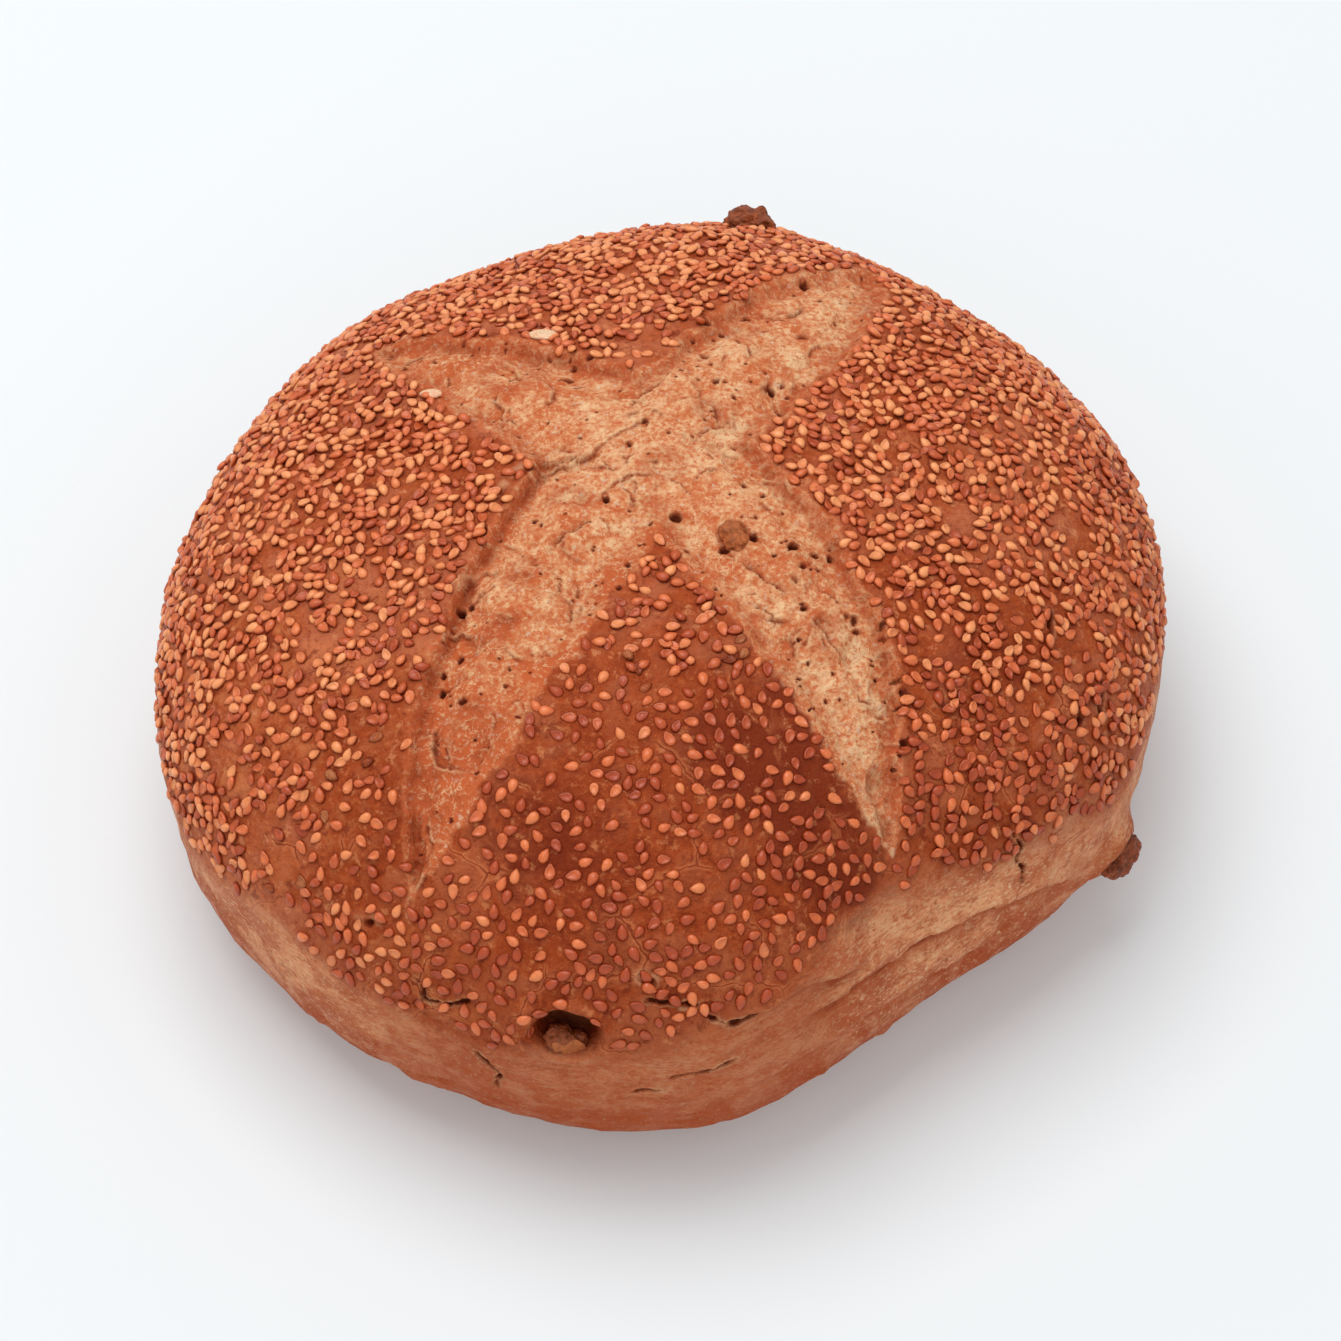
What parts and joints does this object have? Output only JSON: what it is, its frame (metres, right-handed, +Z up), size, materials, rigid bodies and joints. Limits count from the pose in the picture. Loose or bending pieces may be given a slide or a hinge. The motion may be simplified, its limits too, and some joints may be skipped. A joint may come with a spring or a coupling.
{
  "type": "round walnut bread loaf",
  "caption": "Round domed loaf with a four-armed cross cut on top, a coat of sesame seeds, walnut pieces in the crust and a flat base.",
  "frame": {"origin": "middle of the loaf's box, on the surface that it rests on", "axes": "+Z up through the crown, -Y towards the camera side with the walnut pocket"},
  "size_m": [0.2104, 0.218, 0.091],
  "materials": {
    "crust": "baked crust, satin to dull",
    "walnut": "baked nut skin, slightly glossy"
  },
  "bodies": {
    "root": {"loaf": "crust", "walnut_rear": "walnut", "walnut_side": "walnut", "walnut_front": "walnut", "walnut_cross": "walnut"}
  },
  "joints": []
}
